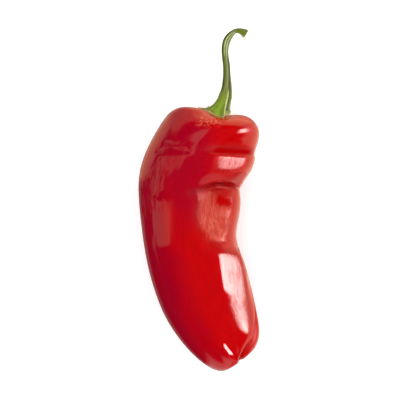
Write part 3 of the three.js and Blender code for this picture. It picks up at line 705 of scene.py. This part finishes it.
def with_relief(name, mesh, tree, material):
    """Runs a tree on a mesh and returns the result as a plain object."""
    piece = placed(name, mesh)
    modifier = piece.modifiers.new(tree.name, "NODES")
    modifier.node_group = tree
    material_input = next(s for s in tree.interface.items_tree if s.name == "Material")
    modifier[material_input.identifier] = material
    graph = bpy.context.evaluated_depsgraph_get()
    made = bpy.data.meshes.new_from_object(
        piece.evaluated_get(graph), preserve_all_data_layers=True, depsgraph=graph)
    piece.modifiers.remove(modifier)
    piece.data = made
    made.name = name
    return piece


# Materials

def material_with(name):
    """A new material, its tree and its shader."""
    material = bpy.data.materials.new(name)
    material.use_nodes = True
    return material, material.node_tree, material.node_tree.nodes["Principled BSDF"]


# The patterns of the skin: the size of their blobs in mm, across, along and deep, and their detail.
# Real pores and flecks are about 0.1 mm wide, and the finest wrinkles 0.2 mm. All three are drawn as
# coarse as the picture needs to show them, at about one of its pixels or more.
SKIN_PATTERNS = {
    "clouds": ((9.0, 20.0, 9.0), 3.0),
    "streaks": ((1.6, 11.0, 1.6), 3.0),
    "flecks": ((0.6, 0.6, 0.6), 2.0),
    "wrinkles": ((0.55, 3.6, 0.55), 2.0),
    "pores": ((0.9, 0.9, 0.9), 2.0),
    "rubbed": ((1.2, 7.0, 1.2), 4.0),
}
RUBBED_FROM, RUBBED_TO = 0.44, 0.6  # the values of that noise where the wax starts to go, and has gone
CLOUD_SWAY = 16.0  # how far the clouds move the border between scarlet and crimson, in mm
PORE_HEIGHT = 0.012  # mm
WRINKLE_HEIGHT = 0.01  # mm, where the skin is smooth

# What is laid over the skin's red in turn: a patch or pattern, the values of it at which the colour
# starts to show and shows most, the most of it that shows, and the colour.
Tint = namedtuple("Tint", "by start full most colour")
SKIN_TINTS = [
    # shaded: crimson toward the left, partly the fruit's own deeper red and partly painted shade.
    Tint("shaded", 9.0, -15.0, 1.0, "#88001A"),
    Tint("streaks", 0.42, 0.72, 0.35, "#900005"),
    Tint("flecks", 0.68, 0.78, 0.2, "#C82818"),
    # strip, satin: the red painted darker where the key's highlight falls on the cheek and on the roll,
    # so that the highlight reads whiter.
    Tint("strip", 0.3, 1.0, 0.3, "#780408"),
    Tint("satin", 0.65, 0.95, 0.3, "#780408"),
    Tint("crimson", 0.0, 1.0, 0.7, "#90001C"),
    Tint("rubbed pleated", 0.2, 1.0, 0.3, "#D88868"),
    # puckered: the red painted darker in the waist, as the painted shade of its wrinkles.
    Tint("puckered", 0.0, 1.0, 0.35, "#840C04"),
    # tucked, folded: painted shade in the fold under the chin and in the valley under the shoulders.
    Tint("tucked", 0.3, 1.0, 0.4, "#640008"),
    Tint("folded", 0.3, 1.0, 0.4, "#7C0006"),
    Tint("blossom scar", 0.35, 0.9, 0.8, "#4A2414"),
]

# How much rougher, and how much less of a mirror, each patch is than the smooth waxed skin.
Wear = namedtuple("Wear", "by rougher dimmer")
SKIN_WEAR = [
    Wear("satin", 0.18, 0.2),
    Wear("rubbed satin", 0.1, 0.08),
    Wear("rubbed strip", 0.22, 0.0),
    Wear("shoulder", 0.2, 0.0),
    Wear("rubbed flank", 0.1, 0.42),
    Wear("rubbed crumpled", 0.1, 0.3),
    Wear("puckered", 0.26, 0.05),
    Wear("rubbed puckered", 0.1, 0.1),
    # tucked, folded: the mirror dimmed in the folds, as painted shade.
    Wear("tucked", 0.25, 0.4),
    Wear("pinched", 0.0, 0.45),
    Wear("thin wax", 0.0, 0.35),
    Wear("folded", 0.3, 0.48),
    Wear("rear lobe", 0.25, 0.3),
    Wear("blossom scar", 0.4, 0.3),
]
WRINKLED = {"puckered": 0.32, "strip": 0.1, "satin": 0.03}  # how much higher the wrinkles are, in mm


def waxy_pepper_skin():
    """Ripe pepper skin as it grew, under its own wax: a deep clear red that mirrors the room where it is
    smooth, cooler crimson on the left, partly painted shade, and satin where it is puckered or the wax is
    rubbed. The red is painted darker under the highlights of the roll and the cheek, and as painted shade
    in the puckered waist and in the folds, where the mirror is also dimmed as painted shade."""
    material, tree, shader = material_with("waxy_pepper_skin")
    straight = node(tree, "ShaderNodeAttribute", attribute_name="straight")["Vector"]
    across = node(tree, "ShaderNodeSeparateXYZ", {0: straight})[0]
    amount = {name: node(tree, "ShaderNodeAttribute", attribute_name=name)["Fac"] for name in PATCHES}
    for seed, (name, (size, detail)) in enumerate(SKIN_PATTERNS.items()):
        amount[name] = stretched_noise(tree, straight, size, seed, detail, roughness=0.55)
    # The wax is rubbed off in streaks, each on its own patch.
    rubbed = node(tree, "ShaderNodeMapRange",
                  {"Value": amount["rubbed"], "From Min": RUBBED_FROM, "From Max": RUBBED_TO},
                  interpolation_type="SMOOTHSTEP")[0]
    for name in ("satin", "strip", "puckered", "flank", "crumpled", "pleated"):
        amount[f"rubbed {name}"] = node(tree, "ShaderNodeMath", {0: rubbed, 1: amount[name]},
                                        operation="MULTIPLY")[0]

    # Scarlet on top and on the right, crimson on the left, with darker streaks and fine pale flecks. The
    # crimson of the left side is partly the fruit's own deeper red and partly painted shade, away from
    # the key.
    amount["shaded"] = node(tree, "ShaderNodeMath", {0: amount["clouds"], 1: CLOUD_SWAY, 2: across},
                            operation="MULTIPLY_ADD")[0]
    colour = linear("#B20004")
    for tint in SKIN_TINTS:
        share = node(tree, "ShaderNodeMapRange",
                     {"Value": amount[tint.by], "From Min": tint.start, "From Max": tint.full,
                      "To Max": tint.most}, interpolation_type="SMOOTHSTEP")[0]
        colour = node(tree, "ShaderNodeMix", {0: share, 6: colour, 7: linear(tint.colour)},
                      data_type="RGBA")[2]
    tree.links.new(colour, shader.inputs["Base Color"])

    # Smooth and waxed at first. Where it is puckered or rubbed the mirror blurs, and in the folds it
    # nearly goes out, as painted shade.
    rough, mirror = 0.09, 0.5
    for wear in SKIN_WEAR:
        rough = node(tree, "ShaderNodeMath", {0: amount[wear.by], 1: wear.rougher, 2: rough},
                     operation="MULTIPLY_ADD")[0]
        mirror = node(tree, "ShaderNodeMath", {0: amount[wear.by], 1: -wear.dimmer, 2: mirror},
                      operation="MULTIPLY_ADD")[0]
    tree.links.new(rough, shader.inputs["Roughness"])
    tree.links.new(mirror, shader.inputs["Specular IOR Level"])
    # Where it is puckered the mirror takes on a little of the skin's own warmth.
    warmth = node(tree, "ShaderNodeMix",
                  {0: amount["puckered"], 6: linear("#FFFFFF"), 7: linear("#FFCFA8")},
                  data_type="RGBA")[2]
    tree.links.new(warmth, shader.inputs["Specular Tint"])

    # Fine wrinkles along the fruit, most of all where it is puckered, and pores everywhere, in mm.
    deep = WRINKLE_HEIGHT
    for name, more in WRINKLED.items():
        deep = node(tree, "ShaderNodeMath", {0: amount[name], 1: more, 2: deep},
                    operation="MULTIPLY_ADD")[0]
    height = node(tree, "ShaderNodeMath", {0: amount["pores"], 1: PORE_HEIGHT}, operation="MULTIPLY")[0]
    height = node(tree, "ShaderNodeMath", {0: amount["wrinkles"], 1: deep, 2: height},
                  operation="MULTIPLY_ADD")[0]
    bumped = node(tree, "ShaderNodeBump", {"Height": height, "Strength": 1.0, "Distance": MM})["Normal"]
    tree.links.new(bumped, shader.inputs["Normal"])
    return material


# The stem's colours, laid over each other. Bands run along the stem. facing, wide: the direction of
# a band's middle and its half width in degrees, where 0 is the stem's right edge. start, full, ease,
# end: where it starts, is full, eases off and ends along the stem. There 0 is the calyx's rim, 1.7 the
# end of its cone, and 11 the cut. most: how much of the colour shows.
Band = namedtuple("Band", "facing wide start full ease end most colour")
STEM_BANDS = {
    "lime cone": Band(90, 400, -0.5, 0.0, 1.0, 2.4, 1.0, "#7F9E20"),
    "yellower foot": Band(100, 60, 0.0, 0.1, 0.5, 0.9, 0.7, "#8CAE1E"),
    "grey upper edge of the cone": Band(170, 34, 0.0, 0.3, 1.7, 2.6, 0.6, "#5E6E3A"),
    "pale ridge": Band(46, 15, -0.1, 0.1, 1.8, 2.6, 0.9, "#DAE28E"),
    # Painted shade: the stalk's left edge, on the side away from the light.
    "painted shade on the left edge": Band(174, 64, 1.6, 2.4, 10.4, 11.0, 0.95, "#2E3C0A"),
    # Painted highlights: two pale bands along the stalk.
    "left painted highlight band": Band(107, 15, 4.8, 5.8, 8.6, 9.4, 0.9, "#CCD29C"),
    "right painted highlight band": Band(64, 16, 4.6, 5.6, 8.4, 9.2, 0.85, "#C2C690"),
    "line between the bands": Band(87, 8, 4.6, 5.6, 8.0, 9.0, 0.85, "#3E4812"),
    "grey middle": Band(90, 26, 1.8, 2.6, 4.4, 5.4, 0.6, "#8A9254"),
    "dark right band": Band(44, 24, 1.9, 2.6, 4.4, 5.4, 0.95, "#262C02"),
    # The slot's near-black is painted shadow in the deep slot.
    "slot": Band(23, 16, 0.45, 0.7, 2.8, 4.0, 1.0, "#0A0E00"),
    "side rib": Band(-3, 14, 0.5, 0.7, 2.4, 3.6, 0.85, "#A4AC80"),
    "green top": Band(90, 400, 8.6, 9.4, 10.6, 11.2, 0.6, "#62761C"),
    "olive side of the flare": Band(62, 34, 9.8, 10.3, 11.4, 12.0, 0.75, "#6A6C0C"),
    "pale lip of the flare": Band(0, 62, 9.5, 10.0, 11.2, 12.0, 0.9, "#DCDEBC"),
    "brown specks near the rim": Band(135, 50, 0.0, 0.05, 0.25, 0.7, 0.65, "#54480F"),
    "line above the rim": Band(90, 400, 0.03, 0.07, 0.11, 0.2, 0.75, "#38460A"),
    "rim": Band(90, 400, -2.0, -1.2, 0.02, 0.07, 0.95, "#D2B478"),
}
BAND_FRAY = 0.8  # how far the fibres fray a band's edges, as a share of its half width
BAND_CORE = 0.4  # how far from its middle it is full, as the same share
# The blobs that make the fibres: on the circle of directions, and along the stem's line. A real fibre
# is about 0.1 mm wide, and they are drawn as coarse as the picture needs to show them.
FIBRE_SIZE = (0.3, 0.3, 1.6)
FIBRE_HEIGHT = 0.12  # mm


def green_stem_tissue():
    """Fresh green stem tissue as it grew: dull olive with dark and pale fibres along the stalk, lime on
    the cone, tan at the dry rim, and softly shining. Two pale bands along the stalk are painted
    highlights, and its left edge and the slot are darkened as painted shade."""
    material, tree, shader = material_with("green_stem_tissue")
    grown = node(tree, "ShaderNodeAttribute", attribute_name="grown")["Vector"]
    across, upward, place = node(tree, "ShaderNodeSeparateXYZ", {0: grown})
    angle = node(tree, "ShaderNodeMath", {0: upward, 1: across}, operation="ARCTAN2")[0]
    stretched = node(tree, "ShaderNodeVectorMath", {0: grown, 1: FIBRE_SIZE}, operation="DIVIDE")[0]
    fibres = node(tree, "ShaderNodeTexNoise", {"Vector": stretched, "Scale": 1.0, "Detail": 3.0})[0]
    frayed = node(tree, "ShaderNodeMath", {0: fibres, 1: 0.5}, operation="SUBTRACT")[0]
    colour = linear("#6C7530")
    for band in STEM_BANDS.values():
        half = math.radians(band.wide)
        off = angle_between(tree, angle, math.radians(band.facing))
        off = node(tree, "ShaderNodeMath", {0: frayed, 1: half * BAND_FRAY, 2: off},
                   operation="MULTIPLY_ADD")[0]
        share = narrowed(tree, band.most, off, half, half * BAND_CORE)
        share = narrowed(tree, share, place, band.start, band.full)
        share = narrowed(tree, share, place, band.end, band.ease)
        colour = node(tree, "ShaderNodeMix", {0: share, 6: colour, 7: linear(band.colour)},
                      data_type="RGBA")[2]
    darkened = node(tree, "ShaderNodeMapRange",
                    {"Value": fibres, "From Min": 0.4, "From Max": 0.65, "To Max": 0.6})[0]
    colour = node(tree, "ShaderNodeMix", {0: darkened, 6: colour, 7: linear("#4C5812")},
                  data_type="RGBA")[2]
    tree.links.new(colour, shader.inputs["Base Color"])
    shader.inputs["Roughness"].default_value = 0.42
    shader.inputs["Specular IOR Level"].default_value = 0.3
    height = node(tree, "ShaderNodeMath", {0: fibres, 1: FIBRE_HEIGHT}, operation="MULTIPLY")[0]
    bumped = node(tree, "ShaderNodeBump", {"Height": height, "Strength": 1.0, "Distance": MM})["Normal"]
    tree.links.new(bumped, shader.inputs["Normal"])
    return material


def white_paper():
    """Matt white paper, rolled smooth and lit through a little from behind, so that it stays white."""
    material, _, shader = material_with("white_paper")
    shader.inputs["Base Color"].default_value = linear("#F8F8F8")
    shader.inputs["Roughness"].default_value = 0.9
    shader.inputs["Specular IOR Level"].default_value = 0.0
    shader.inputs["Emission Color"].default_value = linear("#FFFFFF")
    shader.inputs["Emission Strength"].default_value = 0.2
    return material


# The studio

def direction(azimuth, elevation):
    """A direction: azimuth from the pepper's right toward its stalk, elevation from the table."""
    (x, y), (level, z) = cosine_and_sine(azimuth), cosine_and_sine(elevation)
    return Vector((x * level, y * level, z))


def lamp(light):
    """Puts a light in the scene. The skin mirrors the cards, so the lamp isn't seen in it."""
    made = placed(light.name, light)
    made.visible_camera = False
    made.visible_glossy = False
    return made


def softbox(azimuths, elevations, brightness):
    """A soft panel that fills a range of directions, in degrees, as seen from the pepper."""
    distance = 1.4
    azimuth, elevation = sum(azimuths) / 2, sum(elevations) / 2
    light = bpy.data.lights.new("key_softbox", "AREA")
    light.shape = "RECTANGLE"
    light.size = 2 * distance * math.tan(math.radians(azimuths[1] - azimuths[0]) / 2)
    light.size *= math.cos(math.radians(elevation))
    light.size_y = 2 * distance * math.tan(math.radians(elevations[1] - elevations[0]) / 2)
    light.energy = brightness * math.pi * light.size * light.size_y
    panel, toward = lamp(light), direction(azimuth, elevation)
    panel.location = toward * distance + Vector((0, 0, WIDEST_HEIGHT))
    panel.rotation_euler = toward.to_track_quat("Z", "Y").to_euler()


def ceiling(strength, spread):
    """Even light from above, as from a large white ceiling that spreads over so many degrees."""
    light = bpy.data.lights.new("ceiling", "SUN")
    light.energy = strength
    light.angle = math.radians(spread)
    lamp(light)


# What the glossy skin mirrors: cards that stand round the table, each over a range of directions.
# soft: how far its edges fade. Directions and soft are in degrees.
Card = namedtuple("Card", "azimuths elevations brightness soft colour")
CARDS = {
    "key": Card((-13, 19), (5, 28), 20.0, 7, "#FFFCF8"),
    "key on the table": Card((-13, 19), (-6, 6), 3.0, 8, "#FFF2E6"),
    "right floor": Card((-38, 44), (-78, 0), 1.3, 5, "#FFD6B8"),
    "front floor": Card((-75, -38), (-80, -35), 0.7, 8, "#FFF0E4"),
    "low front card": Card((-118, -75), (-72, 0), 1.0, 10, "#FFE8E0"),
    "front card": Card((-80, -52), (-26, 29), 0.64, 10, "#FFF0EC"),
    "back wall": Card((44, 143), (-74, 6), 0.75, 8, "#FFD2B4"),
    "bright part of the back wall": Card((50, 100), (-55, 4), 1.6, 12, "#FFC49C"),
    "left end of the back wall": Card((138, 176), (-72, -20), 0.95, 8, "#FFC8A4"),
    "high back card": Card((86, 140), (42, 74), 0.9, 10, "#FFEEE6"),
    "high left card": Card((156, 184), (24, 74), 0.85, 8, "#FFCCA4"),
    "left card": Card((157, 193), (-8, 30), 0.95, 5, "#FFDCC0"),
    "left edge": Card((150, 240), (-76, -50), 0.26, 12, "#FFE6DC"),
}
ROOM = 0.004  # the brightness of the room between the cards


def room_of_cards():
    """A dim room with the cards in it. It only shows in reflections; the lamps do the lighting."""
    world = bpy.data.worlds.new("room_of_cards")
    world.use_nodes = True
    tree = world.node_tree
    toward = node(tree, "ShaderNodeTexCoord")["Generated"]
    split = node(tree, "ShaderNodeSeparateXYZ", {0: toward})
    azimuth = node(tree, "ShaderNodeMath", {0: split["Y"], 1: split["X"]}, operation="ARCTAN2")[0]
    elevation = node(tree, "ShaderNodeMath", {0: split["Z"]}, operation="ARCSINE")[0]
    total = (ROOM, ROOM, ROOM)
    for card in CARDS.values():
        share = card.brightness
        soft = math.radians(card.soft) / 2
        for angle, (low, high) in ((azimuth, card.azimuths), (elevation, card.elevations)):
            half = math.radians((high - low) / 2)
            off = angle_between(tree, angle, math.radians((low + high) / 2))
            share = narrowed(tree, share, off, half + soft, half - soft)
        shown = node(tree, "ShaderNodeVectorMath", {0: linear(card.colour)[:3], "Scale": share},
                     operation="SCALE")[0]
        total = node(tree, "ShaderNodeVectorMath", {0: total, 1: shown}, operation="MAXIMUM")[0]
    tree.links.new(total, tree.nodes["Background"].inputs["Color"])
    # The scene gets its world first, because Blender updates it when this setting changes.
    bpy.context.scene.world = world
    world.cycles_visibility.diffuse = False


def studio_sweep():
    """A white paper sweep: flat under the pepper, and curving up far behind it on every side."""
    flat, high, steps, facets = 3.0, 1.5, 12, 96
    points, faces = [(0, 0, 0)], []
    for k in range(steps + 1):
        angle = math.pi / 2 * k / steps
        radius, z = flat + high * math.sin(angle), high * (1 - math.cos(angle))
        points += [(radius * math.cos(a), radius * math.sin(a), z)
                   for a in np.arange(facets) * math.tau / facets]
    for i in range(facets):
        j = (i + 1) % facets
        faces.append((0, 1 + i, 1 + j))
        for k in range(steps):
            near, far = 1 + k * facets, 1 + (k + 1) * facets
            faces.append((near + i, far + i, far + j, near + j))
    mesh = bpy.data.meshes.new("studio_sweep")
    mesh.from_pydata(points, [], faces)
    mesh.polygons.foreach_set("use_smooth", [True] * len(mesh.polygons))
    mesh.materials.append(white_paper())
    sweep = placed("studio_sweep", mesh)
    sweep.visible_glossy = False


def camera_above(shift):
    """Looks straight down, from so far that the fruit's near and far parts keep their true sizes."""
    distance, sensor = 1.2, 36.0
    camera = bpy.data.cameras.new("camera_above")
    camera.sensor_width = sensor
    camera.lens = sensor * distance / (FRAME_PIXELS * PIXEL)
    eye = placed("camera_above", camera)
    eye.location = (FRAME_CENTRE[0] + shift.x, FRAME_CENTRE[1] + shift.y, WIDEST_HEIGHT + distance)
    bpy.context.scene.camera = eye


# The pieces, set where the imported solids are

def middle_of(corners):
    return (Vector(corners[0]) + Vector(corners[1])) / 2


def drawing_shift(mesh):
    """How far the drawing's zero is from the frame's: the fruit's middle in each, on the table."""
    points = np.zeros(len(mesh.vertices) * 3)
    mesh.vertices.foreach_get("co", points)
    points = points.reshape(-1, 3)
    gap = middle_of(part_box("fruit")) - middle_of((points.min(0), points.max(0)))
    return Vector((gap.x, gap.y, 0))


fruit_shape, stem_shape = fruit_mesh(), stem_mesh()
shift = drawing_shift(fruit_shape)
for shape in (fruit_shape, stem_shape):
    for vertex in shape.vertices:
        vertex.co += shift

fruit = with_relief("pepper_fruit", fruit_shape, skin_ripples(), waxy_pepper_skin())
stem = with_relief("pepper_stem", stem_shape, stalk_ribs(), green_stem_tissue())
for piece, cad_node, finish_slot in ((fruit, "fruit", "skin"), (stem, "stem", "stalk")):
    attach(piece, "root")
    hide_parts(cad_node)

studio_sweep()
room_of_cards()
ceiling(strength=3.9, spread=120)
softbox(azimuths=(-22, 19), elevations=(0, 28), brightness=1.2)
camera_above(shift)
bpy.context.scene.view_settings.view_transform = "Standard"
